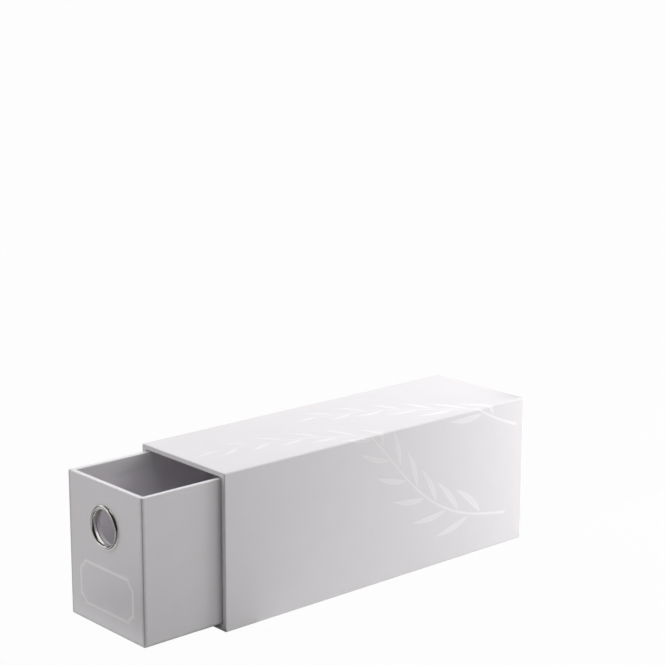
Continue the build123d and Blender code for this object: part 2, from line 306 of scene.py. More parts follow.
def put(tree, kind, inputs=None, **options):
    """Add a shader node, set its options and fill or link its inputs."""
    node = tree.nodes.new("ShaderNode" + kind)
    for option, value in options.items():
        setattr(node, option, value)
    for name, value in (inputs or {}).items():
        if isinstance(value, bpy.types.NodeSocket):
            tree.links.new(value, node.inputs[name])
        else:
            node.inputs[name].default_value = value
    return node


def reckon(tree, operation, first, second=0.0):
    """One step of arithmetic on shader values."""
    return put(tree, "Math", {0: first, 1: second}, operation=operation).outputs[0]


def noise(tree, place, size, detail=NOISE_DETAIL):
    """Soft random patches of about this size."""
    node = put(tree, "TexNoise", {"Vector": place, "Scale": 1.0 / size, "Detail": detail})
    return node.outputs["Fac"]


def spread(tree, value, low, high, to_low=0.0, to_high=1.0):
    """Map a value smoothly from one range to another."""
    inputs = {"Value": value, "From Min": low, "From Max": high, "To Min": to_low, "To Max": to_high}
    return put(tree, "MapRange", inputs, interpolation_type="SMOOTHSTEP").outputs["Result"]


def blend_colours(tree, share, first, second):
    """Mix two colours by a share."""
    node = put(tree, "Mix", {0: share}, data_type="RGBA")
    for socket, value in zip(MIX_COLOURS, (first, second)):
        if isinstance(value, bpy.types.NodeSocket):
            tree.links.new(value, node.inputs[socket])
        else:
            node.inputs[socket].default_value = (*value, 1.0)
    return node.outputs[MIX_RESULT]


def tint(tone, share):
    """A tone made lighter or darker by a share."""
    return tuple(min(1.0, channel * share) for channel in tone)


def blend_tints(tree, share, tone, tints):
    """Mix a darker and a lighter tint of one tone by a share."""
    return blend_colours(tree, share, *[tint(tone, amount) for amount in tints])


def bump(tree, height, depth, normal=None):
    """Raise the surface by a height of up to this depth."""
    inputs = {"Height": height, "Distance": depth, "Strength": 1.0}
    if normal is not None:
        inputs["Normal"] = normal
    return put(tree, "Bump", inputs).outputs["Normal"]


def open_finish(material):
    """A finish's node tree, its shader and the place on the object."""
    tree = material.node_tree
    return tree, tree.nodes["Principled BSDF"], put(tree, "TexCoord").outputs["Object"]


def new_finish(name):
    """A new finish, with its node tree, its shader and the place on the object."""
    material = bpy.data.materials.new(name)
    material.use_nodes = True
    return material, *open_finish(material)


# Finishes

NOISE_ENDS = (0.3, 0.7)
FIBRE = 0.35 * MM
FIBRE_DEPTH = 0.004 * MM
FIBRE_DETAIL = 4.0
CLOUD = 14.0 * MM
CLOUD_DETAIL = 3.0
CLOUD_TINTS = (0.975, 1.02)
RIPPLE = 26.0 * MM
RIPPLE_DEPTH = 0.06 * MM
PAPER_SHINE = 0.4
GLOSS_RANGE = 0.06
PEARL = 0.25
PEARL_GLOSS = 0.4
INK_GLOSS = 0.4
LINING_GLOSS = 0.6


def paper_finish(name, tone, gloss, pearl=0.0):
    """Covering paper: fine fibres, faint clouds, slow ripples from the paste and a share of pearl."""
    material, tree, shader, place = new_finish(name)
    fibres = noise(tree, place, FIBRE, FIBRE_DETAIL)
    clouds = noise(tree, place, CLOUD, CLOUD_DETAIL)
    ripples = noise(tree, place, RIPPLE)
    roughness = spread(tree, fibres, *NOISE_ENDS, gloss - GLOSS_RANGE, gloss + GLOSS_RANGE)
    rippled = bump(tree, ripples, RIPPLE_DEPTH)
    tree.links.new(blend_tints(tree, clouds, tone, CLOUD_TINTS), shader.inputs["Base Color"])
    tree.links.new(roughness, shader.inputs["Roughness"])
    tree.links.new(bump(tree, fibres, FIBRE_DEPTH, rippled), shader.inputs["Normal"])
    shader.inputs["Specular IOR Level"].default_value = PAPER_SHINE
    shader.inputs["Metallic"].default_value = pearl
    return material


def pearl_paper(name, tone):
    """The printed covering paper, with a share of pearl in its coat."""
    return paper_finish(name, tone, PEARL_GLOSS, PEARL)


def ink_finish(tone):
    """Pale ink, laid on the paper as a thin film: one finish for all the print."""
    return bpy.data.materials.get("pale_ink") or paper_finish("pale_ink", tone, INK_GLOSS)


SCUFF = 5.0 * MM
SCUFF_DEPTH = 0.5 * MM
SCUFF_DETAIL = 4.0
# The drawer's paper is greyed within these distances of its upright corners and foot: partly handling
# marks, partly painted shade
WEAR_AND_SHADE_CORE = 1.3 * MM
WEAR_AND_SHADE_END = 3.0 * MM
FOOT_EASE = 0.6 * MM


def edge_distance(tree, place, low, high):
    """Distance from a point on an upright wall to the nearest corner of its box, or to the foot if nearer.

    The foot counts as a little further off than it is, so that the band of painted shade along it is
    narrower.
    """
    axes = put(tree, "SeparateXYZ", {0: place}).outputs
    depths = []
    for axis in (X, Y):
        middle = (low[axis] + high[axis]) / 2
        half = (high[axis] - low[axis]) / 2
        offset = reckon(tree, "ABSOLUTE", reckon(tree, "SUBTRACT", axes[axis], middle))
        depths.append(reckon(tree, "SUBTRACT", half, offset))
    corner = reckon(tree, "MAXIMUM", *depths)
    foot = reckon(tree, "SUBTRACT", axes[Z], low.z - FOOT_EASE)
    return reckon(tree, "MINIMUM", corner, foot)


def add_wear_and_painted_shade(material, worn_and_shaded, low, high):
    """Grey a paper along the upright corners and the foot of the box that it covers: partly rubbed by
    handling, partly painted shade.
    """
    tree, shader, place = open_finish(material)
    scuffs = spread(tree, noise(tree, place, SCUFF, SCUFF_DETAIL), *NOISE_ENDS, 0.0, SCUFF_DEPTH)
    distance = reckon(tree, "ADD", edge_distance(tree, place, low, high), scuffs)
    wear_and_shade = spread(tree, distance, WEAR_AND_SHADE_CORE, WEAR_AND_SHADE_END, 1.0, 0.0)
    clean = shader.inputs["Base Color"].links[0].from_socket
    tree.links.new(blend_colours(tree, wear_and_shade, clean, worn_and_shaded), shader.inputs["Base Color"])


BOARD_FIBRE = 1.2 * MM
BOARD_DEPTH = 0.05 * MM
BOARD_DETAIL = 6.0
BOARD_TINTS = (0.85, 1.12)
BOARD_ROUGHNESS = 0.9
FLECK = 0.5 * MM
FLECK_ENDS = (0.62, 0.72)
FLECK_TINT = 0.6


def board_finish(name, tone):
    """Greyboard and gummed tape: coarse fibres with darker flecks."""
    material, tree, shader, place = new_finish(name)
    fibres = noise(tree, place, BOARD_FIBRE, BOARD_DETAIL)
    flecks = spread(tree, noise(tree, place, FLECK), *FLECK_ENDS)
    shade = blend_tints(tree, fibres, tone, BOARD_TINTS)
    flecked = blend_colours(tree, flecks, shade, tint(tone, FLECK_TINT))
    tree.links.new(flecked, shader.inputs["Base Color"])
    tree.links.new(bump(tree, fibres, BOARD_DEPTH), shader.inputs["Normal"])
    shader.inputs["Roughness"].default_value = BOARD_ROUGHNESS
    return material


MARK = 0.6 * MM
MARK_DEPTH = 0.002 * MM
MARK_DETAIL = 5.0
MARK_ROUGHNESS = (0.07, 0.16)
STAIN = 6.0 * MM
STAIN_TINTS = (0.93, 1.0)


def nickel_finish(name, tone):
    """Bright nickel plate with faint polishing marks and stains."""
    material, tree, shader, place = new_finish(name)
    marks = noise(tree, place, MARK, MARK_DETAIL)
    stains = noise(tree, place, STAIN)
    tree.links.new(blend_tints(tree, stains, tone, STAIN_TINTS), shader.inputs["Base Color"])
    tree.links.new(spread(tree, marks, *NOISE_ENDS, *MARK_ROUGHNESS), shader.inputs["Roughness"])
    tree.links.new(bump(tree, marks, MARK_DEPTH), shader.inputs["Normal"])
    shader.inputs["Metallic"].default_value = 1.0
    return material


# Inside the ring's barrel the plate turns less shiny and darker, the darker tone being painted shade, with
# a painted line of deeper shade where the bright plate ends
DULL_SHADE_START = 1.1 * MM
DULL_SHADE_EDGE = 0.3 * MM
DULL_ROUGHNESS = 0.5
SHADE_LINE_WIDTH = 0.6 * MM
SHADE_LINE_TINT = 0.3


def add_dull_shaded_barrel(material, dull_and_shaded, front):
    """Make a plated ring less shiny and darker behind its front, the darker tone being painted shade inside
    the hole, with a painted line of deeper shade where the bright plate ends.
    """
    tree, shader, place = open_finish(material)
    depth = reckon(tree, "SUBTRACT", put(tree, "SeparateXYZ", {0: place}).outputs[Y], front)
    shade_line_end = DULL_SHADE_START + SHADE_LINE_WIDTH
    share = spread(tree, depth, DULL_SHADE_START, DULL_SHADE_START + DULL_SHADE_EDGE)
    clean = spread(tree, depth, shade_line_end, shade_line_end + DULL_SHADE_EDGE)
    bright = shader.inputs["Base Color"].links[0].from_socket
    polish = shader.inputs["Roughness"].links[0].from_socket
    inside = blend_colours(tree, clean, tint(dull_and_shaded, SHADE_LINE_TINT), dull_and_shaded)
    roughness = reckon(tree, "ADD", polish, reckon(tree, "MULTIPLY", share, DULL_ROUGHNESS))
    tree.links.new(blend_colours(tree, share, bright, inside), shader.inputs["Base Color"])
    tree.links.new(reckon(tree, "SUBTRACT", 1.0, share), shader.inputs["Metallic"])
    tree.links.new(roughness, shader.inputs["Roughness"])


# Boards and linings

class CARDBOX_OT_boards(bpy.types.Operator):
    """Finish the boards and the tapes that hold their joints"""

    bl_idname = "cardbox.boards"
    bl_label = "Boards and tapes"

    def execute(self, context):
        colours = context.scene.card_box.colours
        boards = [name for name in frame["nodes"] if name.endswith("_board")]
        tapes = [name for name in frame["nodes"] if "_stay_" in name]
        paint_nodes(board_finish("greyboard", colours.board), *boards)
        paint_nodes(board_finish("gummed_tape", colours.tape), *tapes)
        return {"FINISHED"}


class CARDBOX_OT_linings(bpy.types.Operator):
    """Finish the linings, the sheets underneath and behind, and the ring's washer"""

    bl_idname = "cardbox.linings"
    bl_label = "Linings and sheets"

    def execute(self, context):
        colours = context.scene.card_box.colours
        plain = [name for name in frame["nodes"] if name.endswith(("_lining", "_sheet"))]
        plain.remove("sleeve_back_sheet")
        paint_nodes(paper_finish("plain_paper", colours.lining, LINING_GLOSS), *plain)
        paint_nodes(pearl_paper("back_paper", colours.paper), "sleeve_back_sheet")
        paint_nodes(nickel_finish("washer_nickel", colours.nickel), "ring_washer")
        return {"FINISHED"}


# Covers

CORNER_STEPS = 5
FOLD_STEPS = 3
HOLE_STEPS = 96
SQUARE_ON = 0.5
SHARP_FOLD = 1.0


def draw_in(piece, along, end, outer, inner):
    """Extrude an open end's rim towards the middle, from its own rectangle to a smaller one."""
    choose(piece, "EDGE", lambda edge: edge.is_boundary and on_plane(edge, along, end))
    shrink = Vector((1.0, 1.0, 1.0))
    still = (outer[0] + outer[1]) / 2
    for axis in {X, Y, Z} - {along}:
        shrink[axis] = (inner[1][axis] - inner[0][axis]) / (outer[1][axis] - outer[0][axis])
        still[axis] = (inner[0][axis] - shrink[axis] * outer[0][axis]) / (1.0 - shrink[axis])
    bpy.ops.mesh.extrude_region_move()
    bpy.ops.transform.resize(value=shrink, center_override=still)


def grown(box, size):
    """A box grown on every side, or shrunk where the size is negative."""
    rim = Vector((size, size, size))
    return box[0] - rim, box[1] + rim


def slit(piece, ends, test):
    """Cut a narrow slot between two planes square to X, through the faces that pass a test."""
    for place in ends:
        select_whole()
        bpy.ops.mesh.bisect(plane_co=(place, 0.0, 0.0), plane_no=(1.0, 0.0, 0.0))

    def inside(face):
        middle = face.calc_center_median()
        return ends[0] < middle.x < ends[1] and test(middle)

    choose(piece, "FACE", inside)
    bpy.ops.mesh.delete(type="FACE")


def folded_cover(name, outer, inner, along, turn_in, radius, sizes):
    """Fold one sheet round four sides of a block, in over its mouth and onto its closed end.

    The boxes outer and inner are those of the walls and of the room inside, and the block is open along one
    axis. A turn-in below nought is at the block's high end.
    """
    low, high = outer
    mouth, tail = (low, high) if turn_in > 0.0 else (high, low)
    inwards = Vector()
    inwards[along] = turn_in
    piece = start_block(name, low, high)
    edit(piece)
    choose(piece, "FACE", lambda face: abs(face.normal[along]) > SQUARE_ON)
    bpy.ops.mesh.delete(type="ONLY_FACE")
    choose(piece, "EDGE", lambda edge: runs_along(edge, along))
    bpy.ops.mesh.bevel(offset=radius, segments=CORNER_STEPS, affect="EDGES")
    draw_in(piece, along, mouth[along], outer, inner)
    pull_out(inwards)
    draw_in(piece, along, tail[along], outer, grown(outer, -sizes.lap))

    def folded(edge):
        at_end = on_plane(edge, along, mouth[along]) or on_plane(edge, along, tail[along])
        return at_end and not edge.is_boundary and edge.calc_face_angle(0.0) > SHARP_FOLD

    choose(piece, "EDGE", folded)
    bpy.ops.mesh.bevel(offset=sizes.fold_radius, segments=FOLD_STEPS, affect="EDGES", clamp_overlap=False)
    select_whole()
    bpy.ops.mesh.normals_make_consistent(inside=False)
    return piece


class CARDBOX_OT_sleeve_cover(bpy.types.Operator):
    """Fold the sleeve's printed sheet round its boards"""

    bl_idname = "cardbox.sleeve_cover"
    bl_label = "Sleeve cover"

    def execute(self, context):
        settings = context.scene.card_box
        sizes = settings.cover
        film = settings.prints.film
        outer = SLEEVE_LOW + Vector((film, 0.0, 0.0)), SLEEVE_HIGH - Vector((film, 0.0, film))
        inner = grown((SLEEVE_LINING_LOW, SLEEVE_LINING_HIGH), -SHEET)
        piece = folded_cover(
            "sleeve_cover", outer, inner, Y, sizes.sleeve_turn_in, sizes.sleeve_radius, sizes
        )
        middle_z = (SLEEVE_LOW.z + SLEEVE_HIGH.z) / 2
        slit(piece, (-sizes.seam / 2, sizes.seam / 2), lambda middle: middle.z < middle_z)
        close()
        thicken(piece, sizes.paper)
        smooth(piece)
        dress(piece, "sleeve", pearl_paper("sleeve_paper", settings.colours.paper))
        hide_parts("sleeve_wrap")
        return {"FINISHED"}


class CARDBOX_OT_drawer_cover(bpy.types.Operator):
    """Fold the drawer's sheet round its walls, with the hole for the finger ring"""

    bl_idname = "cardbox.drawer_cover"
    bl_label = "Drawer cover"

    def execute(self, context):
        sizes = context.scene.card_box.cover
        colours = context.scene.card_box.colours
        outer = DRAWER_LOW, DRAWER_HIGH
        inner = grown((DRAWER_LINING_LOW, DRAWER_LINING_HIGH), -SHEET)
        piece = folded_cover(
            "drawer_cover", outer, inner, Z, -sizes.drawer_turn_in, sizes.drawer_radius, sizes
        )
        seam_x = DRAWER_HIGH.x - sizes.seam_inset
        middle_y = (DRAWER_LOW.y + DRAWER_HIGH.y) / 2
        slit(piece, (seam_x - sizes.seam, seam_x), lambda middle: middle.y > middle_y)
        close()
        thicken(piece, sizes.paper)
        self.pierce(piece, sizes.ring_hole)
        smooth(piece)
        paper = pearl_paper("drawer_paper", colours.paper)
        # Grey the drawer's corners and foot: partly handling marks, partly painted shade
        add_wear_and_painted_shade(paper, colours.worn_and_shaded, DRAWER_LOW, DRAWER_HIGH)
        dress(piece, "drawer", paper)
        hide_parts("drawer_wrap")
        return {"FINISHED"}

    def pierce(self, piece, radius):
        """Punch the hole for the finger ring through the front."""
        deselect()
        bpy.ops.mesh.primitive_cylinder_add(
            vertices=HOLE_STEPS, radius=radius, depth=2 * DRAWER_WALL,
            location=(0.0, DRAWER_LOW.y, RING_Z), rotation=(pi / 2, 0.0, 0.0),
        )
        punch = settle("ring_punch")
        apply_modifier(piece, "BOOLEAN", object=punch, operation="DIFFERENCE", solver="EXACT")
        bpy.data.objects.remove(punch)


# Finger ring

SECTION_STEPS = 32
RING_SMOOTH_ANGLE = radians(50)


class CARDBOX_OT_finger_ring(bpy.types.Operator):
    """Roll the finger ring: a rounded flange, a barrel through the wall and a curl behind it"""

    bl_idname = "cardbox.finger_ring"
    bl_label = "Finger ring"

    def execute(self, context):
        sizes = context.scene.card_box.ring
        colours = context.scene.card_box.colours
        centre = Vector((0.0, DRAWER_LOW.y, RING_Z))
        piece = self.start_flange(centre + Vector((sizes.bore + sizes.flange / 2, 0.0, 0.0)), sizes)
        self.add_curl(piece, centre + Vector((sizes.bore + sizes.curl, sizes.grip, 0.0)), sizes.curl)
        choose(piece, "VERT", lambda vertex: abs(vertex.co.x - sizes.bore) < NEAR)
        bpy.ops.mesh.edge_face_add()
        self.spin_section(centre, sizes.turns)
        close()
        self.face_out(piece)
        thicken(piece, sizes.metal)
        smooth(piece, RING_SMOOTH_ANGLE)
        nickel = nickel_finish("ring_nickel", colours.nickel)
        # Painted shade inside the ring's hole, on a less shiny plate behind its front
        add_dull_shaded_barrel(nickel, colours.dull_and_shaded, DRAWER_LOW.y)
        dress(piece, "drawer", nickel)
        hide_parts("finger_ring")
        return {"FINISHED"}

    def start_flange(self, middle, sizes):
        """Start the ring's section with the flange's half-round line, in front of its middle."""
        deselect()
        bpy.ops.mesh.primitive_circle_add(vertices=SECTION_STEPS, radius=sizes.flange / 2, location=middle)
        piece = settle("rolled_finger_ring")
        edit(piece)
        choose(piece, "VERT", lambda vertex: vertex.co.y > middle.y + NEAR)
        bpy.ops.mesh.delete(type="VERT")
        select_whole()
        bpy.ops.transform.resize(value=(1.0, 2 * sizes.roll / sizes.flange, 1.0), center_override=middle)
        return piece

    def add_curl(self, piece, middle, radius):
        """Add the curl's half-round line to the ring's section, behind its middle."""
        bpy.ops.mesh.primitive_circle_add(vertices=SECTION_STEPS, radius=radius, location=middle)
        mesh = bmesh.from_edit_mesh(piece.data)
        front = {vertex.index for vertex in mesh.verts if vertex.select and vertex.co.y < middle.y - NEAR}
        choose(piece, "VERT", lambda vertex: vertex.index in front)
        bpy.ops.mesh.delete(type="VERT")

    def spin_section(self, centre, turns):
        """Spin the section all the way round the ring's axis and close it up."""
        select_whole()
        bpy.ops.mesh.spin(steps=turns, angle=2 * pi, center=centre, axis=(0.0, 1.0, 0.0))
        select_whole()
        bpy.ops.mesh.remove_doubles(threshold=NEAR)
        bpy.ops.mesh.normals_make_consistent(inside=False)

    def face_out(self, piece):
        """Turn the faces so that the front flange faces forwards."""
        front = min(piece.data.polygons, key=lambda face: face.center.y)
        if front.normal.y > 0.0:
            edit(piece)
            select_whole()
            bpy.ops.mesh.flip_normals()
            close()


# Label frame

SCOOP_STEPS = 10
SCOOP_PROFILE = 0.09


class CARDBOX_OT_label_frame(bpy.types.Operator):
    """Print the label frame on the drawer's front"""

    bl_idname = "cardbox.label_frame"
    bl_label = "Label frame"

    def execute(self, context):
        sizes = context.scene.card_box.prints
        middle = (0.0, DRAWER_LOW.y, DRAWER_HIGH.z - sizes.label_drop)
        deselect()
        bpy.ops.mesh.primitive_plane_add(size=UNIT, location=middle, rotation=(pi / 2, 0.0, 0.0))
        piece = settle("label_frame")
        edit(piece)
        select_whole()
        bpy.ops.transform.resize(value=(sizes.label_width, 1.0, sizes.label_height), center_override=middle)
        bpy.ops.mesh.bevel(
            affect="VERTICES", offset=sizes.label_scoop, segments=SCOOP_STEPS, profile=SCOOP_PROFILE
        )
        select_whole()
        bpy.ops.mesh.inset(thickness=sizes.label_line, use_even_offset=True)
        bpy.ops.mesh.delete(type="FACE")
        close()
        thicken(piece, sizes.film, outwards=True)
        dress(piece, "drawer", ink_finish(context.scene.card_box.colours.ink))
        return {"FINISHED"}


# Leaf spray

LEAF_COLUMNS = 3
LEAF_ROWS = 12
LEAF_TIP = 0.05
LEAF_SHOULDER = 0.85
LEAF_FULLNESS = 0.9
LEAF_ANGLE = radians(42)
LEAF_CURVE = 0.22
LEAF_GAP = 0.6 * MM
LEAF_EVERY = 2
SHORTEST_LEAF = 0.55
VEIN_CORE = 0.3
VEIN_WIDTH = 0.2
VEIN_REACH = 0.8
STEM_STEP = 6.0 * MM
STEM_TAPER = 0.4
BARE_STEPS = 3
FOLD_OVER_STEPS = 5

Branch = namedtuple("Branch", "foot heading steps bends")
BRANCHES = (
    Branch(
        foot=(254.0 * MM, 24.0 * MM), heading=radians(172), steps=44, bends=(radians(-2.9), radians(2.9))
    ),
    Branch(
        foot=(264.0 * MM, 88.0 * MM), heading=radians(160), steps=26, bends=(radians(-2.6), radians(3.4))
    ),
)


def ahead(heading):
    """The direction of a heading in the sleeve's side, nought being towards the tail."""
    return Vector((0.0, cos(heading), sin(heading)))


def model_leaf(leaf_length, leaf_width):
    """Model one willow leaf with an open vein, flat in the sleeve's side, with its foot at the origin."""
    deselect()
    bpy.ops.mesh.primitive_grid_add(
        x_subdivisions=LEAF_COLUMNS, y_subdivisions=LEAF_ROWS, size=UNIT, rotation=(0.0, pi / 2, 0.0)
    )
    leaf = settle("leaf")
    edit(leaf)
    select_whole()
    bpy.ops.transform.translate(value=(0.0, UNIT / 2, 0.0))
    bpy.ops.transform.resize(value=(1.0, leaf_length, leaf_width), center_override=ORIGIN)
    choose(leaf, "VERT", lambda vertex: abs(vertex.co.z) < VEIN_CORE * leaf_width)
    bpy.ops.transform.resize(value=(1.0, 1.0, VEIN_WIDTH), center_override=ORIGIN)

    def in_vein(face):
        middle = face.calc_center_median()
        return abs(middle.z) < NEAR and middle.y < VEIN_REACH * leaf_length

    choose(leaf, "FACE", in_vein)
    bpy.ops.mesh.delete(type="FACE")
    for row in range(LEAF_ROWS + 1):
        share = row / LEAF_ROWS
        reach = share * leaf_length
        breadth = max(LEAF_TIP, sin(pi * share ** LEAF_SHOULDER) ** LEAF_FULLNESS)
        choose(leaf, "VERT", lambda vertex: abs(vertex.co.y - reach) < NEAR)
        bpy.ops.transform.resize(value=(1.0, 1.0, breadth), center_override=(0.0, reach, 0.0))
        bpy.ops.transform.translate(value=(0.0, 0.0, LEAF_CURVE * leaf_length * share ** 2))
    close()
    return leaf


def grow_stem(branch, face, width):
    """Grow a stem on the sleeve's side and return it with the place and heading of each of its steps."""
    foot = Vector((face, SLEEVE_LOW.y + branch.foot[0], branch.foot[1]))
    heading = branch.heading
    deselect()
    bpy.ops.mesh.primitive_plane_add(size=width, location=foot, rotation=(0.0, pi / 2, 0.0))
    stem = settle("stem")
    edit(stem)
    select_whole()
    turn(heading, "X", foot)
    tip = foot + ahead(heading) * width / 2
    choose(stem, "EDGE", lambda edge: ((edge.verts[0].co + edge.verts[1].co) / 2 - tip).length < NEAR)
    taper = STEM_TAPER ** (1.0 / branch.steps)
    half = branch.steps // 2
    joints = []
    for step in range(branch.steps):
        bend = branch.bends[step // half] * sin(pi * (step % half + 0.5) / half)
        heading += bend
        shift = STEM_STEP * ahead(heading)
        pull_out(shift)
        tip = tip + shift
        turn(bend, "X", tip)
        bpy.ops.transform.resize(value=(1.0, taper, taper), center_override=tip)
        joints.append((tip, heading))
    close()
    return stem, joints


def set_leaf(leaf, place, angle, side, size):
    """Copy the leaf to a place on the sleeve's side, turned, scaled and curved to one side."""
    take_up(leaf)
    bpy.ops.object.duplicate()
    copy = bpy.context.object
    edit(copy)
    select_whole()
    bpy.ops.transform.resize(value=(1.0, size, size * side), center_override=ORIGIN)
    if side < 0.0:
        bpy.ops.mesh.flip_normals()
    turn(angle, "X", ORIGIN)
    bpy.ops.transform.translate(value=place)
    close()
    return copy


def set_leaves(leaf, joints, width):
    """Set leaves along a stem, left and right in turn and shorter towards its tip, and one at the tip."""
    leaves = []
    for number, step in enumerate(range(BARE_STEPS, len(joints) - 1, LEAF_EVERY)):
        place, heading = joints[step]
        side = -1.0 if number % 2 else 1.0
        share = step / len(joints)
        size = 1.0 - (1.0 - SHORTEST_LEAF) * share
        half_stem = width * STEM_TAPER ** share / 2
        foot = place + side * (half_stem + LEAF_GAP) * ahead(heading - pi / 2)
        leaves.append(set_leaf(leaf, foot, heading - side * LEAF_ANGLE, side, size))
    place, heading = joints[-1]
    leaves.append(set_leaf(leaf, place + LEAF_GAP * ahead(heading), heading, 1.0, SHORTEST_LEAF))
    return leaves


def fold_over(piece, face, line, radius):
    """Fold what stands above a line on the sleeve's side over the rounded edge and onto the top."""
    step = pi / 2 / FOLD_OVER_STEPS
    chord = 2.0 * radius * sin(step / 2)
    edit(piece)
    for fold in range(FOLD_OVER_STEPS + 1):
        select_whole()
        bpy.ops.mesh.bisect(plane_co=(face, 0.0, line + fold * chord), plane_no=(0.0, 0.0, 1.0))
    heights = [vertex.co.z for vertex in bmesh.from_edit_mesh(piece.data).verts]
    for fold in range(FOLD_OVER_STEPS + 1):
        angle = fold * step
        pivot = (face - radius + radius * cos(angle), 0.0, line + radius * sin(angle))
        bend = step if 0 < fold < FOLD_OVER_STEPS else step / 2
        choose(piece, "VERT", lambda vertex: heights[vertex.index] > line + fold * chord + NEAR)
        turn(-bend, "Y", pivot)
    close()


class CARDBOX_OT_leaf_spray(bpy.types.Operator):
    """Print the leaf spray on the sleeve's side and over its top"""

    bl_idname = "cardbox.leaf_spray"
    bl_label = "Leaf spray"

    def execute(self, context):
        settings = context.scene.card_box
        sizes = settings.prints
        radius = settings.cover.sleeve_radius
        face = SLEEVE_HIGH.x - sizes.film
        line = SLEEVE_HIGH.z - sizes.film - radius
        leaf = model_leaf(sizes.leaf_length, sizes.leaf_width)
        pieces = []
        for branch in BRANCHES:
            stem, joints = grow_stem(branch, face, sizes.stem_width)
            pieces += [stem, *set_leaves(leaf, joints, sizes.stem_width)]
        bpy.data.objects.remove(leaf)
        take_up(pieces[0])
        for piece in pieces:
            piece.select_set(True)
        bpy.ops.object.join()
        spray = settle("leaf_spray")
        fold_over(spray, face, line, radius)
        thicken(spray, sizes.film, outwards=True)
        smooth(spray)
        dress(spray, "sleeve", ink_finish(settings.colours.ink))
        return {"FINISHED"}


# Stage

WHITE = (1.0, 1.0, 1.0, 1.0)
MATT = 1.0
SKY_LEVEL = 1.12
FLOOR_SIZE = 30.0
FLOOR_GLOW = 0.29
FLOOR_LIFT = 0.965
CAMERA_AZIMUTH = radians(48.475)
CAMERA_ELEVATION = radians(13.383)
CAMERA_ROLL = radians(0.141)
CAMERA_PLACE = (0.912297, -0.816159, 0.458226)
CAMERA_LENS = 100.561
CAMERA_SENSOR = 36.0
CARD_PLACE = Vector((0.0, -0.05, 0.001))
CARD_RADIUS = 0.65
CARD_STEPS = 120
WIDE_BEAM = radians(180)
NARROW_BEAM = radians(40)

Card = namedtuple("Card", "name ends rise shades shows")
CARDS = (
    Card("shade_card", (radians(-112), radians(62)), (0.0, 0.9), True, False),
    Card("dark_card", (radians(-112), radians(20)), (0.0, 1.8), False, True),
    Card("high_card", (radians(-170), radians(-109)), (0.5, 3.0), False, True),
)

Sheet = namedtuple("Sheet", "name low high tone shades shows")
SHEETS = (
    Sheet("sheet_under", (-0.038, -0.150, 0.0001), (0.0445, -0.1365, 0.0003), 0.0, True, True),
    Sheet("sheet_flag", (0.0446, -0.160, 0.0002), (0.0450, -0.1365, 0.0045), 0.02, True, False),
    Sheet("sheet_toe", (-0.0395, -0.207, 0.00035), (0.0395, -0.188, 0.0005), 0.02, True, False),
    Sheet("sheet_edge", (0.030, -0.196, 0.0001), (0.0395, -0.151, 0.0003), 0.02, True, False),
    Sheet("sheet_beside", (0.041, -0.26, 0.0001), (0.30, -0.11, 0.0003), 0.05, True, False),
    Sheet("sheet_before", (-0.09, -0.29, 0.0001), (0.06, -0.198, 0.0003), 0.42, True, False),
    Sheet("sheet_front", (-0.60, -0.90, 0.0004), (0.02, -0.215, 0.0006), 0.5, False, True),
    Sheet("sheet_right", (0.02, -0.90, 0.0004), (0.80, -0.215, 0.0006), 0.08, False, True),
    Sheet("sheet_ring", (-0.06, -0.34, 0.0007), (0.002, -0.222, 0.0009), 0.15, False, True),
    Sheet("sheet_left", (-0.17, -0.27, 0.0002), (-0.169, -0.08, 0.1), 0.1, False, True),
    Sheet("sheet_far_left", (-0.90, -1.20, 0.0002), (-0.89, 0.20, 0.3), 0.3, False, True),
    Sheet("sheet_behind", (0.0425, 0.1368, 0.0002), (0.0432, 0.45, 0.13), 0.7, True, False),
)

Lamp = namedtuple("Lamp", "name place aim size power beam")
LAMPS = (
    Lamp("rear_lamp", (0.185, 0.48, 0.06), (0.0425, 0.0, 0.05), (0.22, 0.14), 2.4, WIDE_BEAM),
    Lamp("top_lamp", (0.265, 0.39, 0.5), (0.0, -0.1, 0.1), (0.4, 0.4), 1.95, WIDE_BEAM),
    Lamp("front_lamp", (0.09, -0.64, 0.13), (0.0, -0.2, 0.05), (0.3, 0.1), 0.55, WIDE_BEAM),
    Lamp("inner_lamp", (0.08, -0.178, 0.24), (-0.036, -0.178, 0.085), (0.03, 0.03), 0.002, NARROW_BEAM),
)


def seen_rays(tree):
    """One for rays from the camera, in a reflection or through glass, and nought for the rest."""
    rays = put(tree, "LightPath").outputs
    mirrored = reckon(tree, "MAXIMUM", rays["Is Glossy Ray"], rays["Is Transmission Ray"])
    return reckon(tree, "MAXIMUM", rays["Is Camera Ray"], mirrored)


def floor_finish(name, tone):
    """A pale floor, lit a little from below, that shows white to the camera and still takes a shadow."""
    material = bpy.data.materials.new(name)
    material.use_nodes = True
    tree = material.node_tree
    tree.nodes.clear()
    matt = put(tree, "BsdfDiffuse", {"Color": (*tone, 1.0)})
    below = put(tree, "Emission", {"Color": WHITE, "Strength": FLOOR_GLOW})
    lit = put(tree, "AddShader", {0: matt.outputs[0], 1: below.outputs[0]})
    white = put(tree, "Emission", {"Color": WHITE, "Strength": 1.0})
    seen = reckon(tree, "MULTIPLY", seen_rays(tree), FLOOR_LIFT)
    mixed = put(tree, "MixShader", {0: seen, 1: lit.outputs[0], 2: white.outputs[0]})
    put(tree, "OutputMaterial", {"Surface": mixed.outputs[0]})
    return material


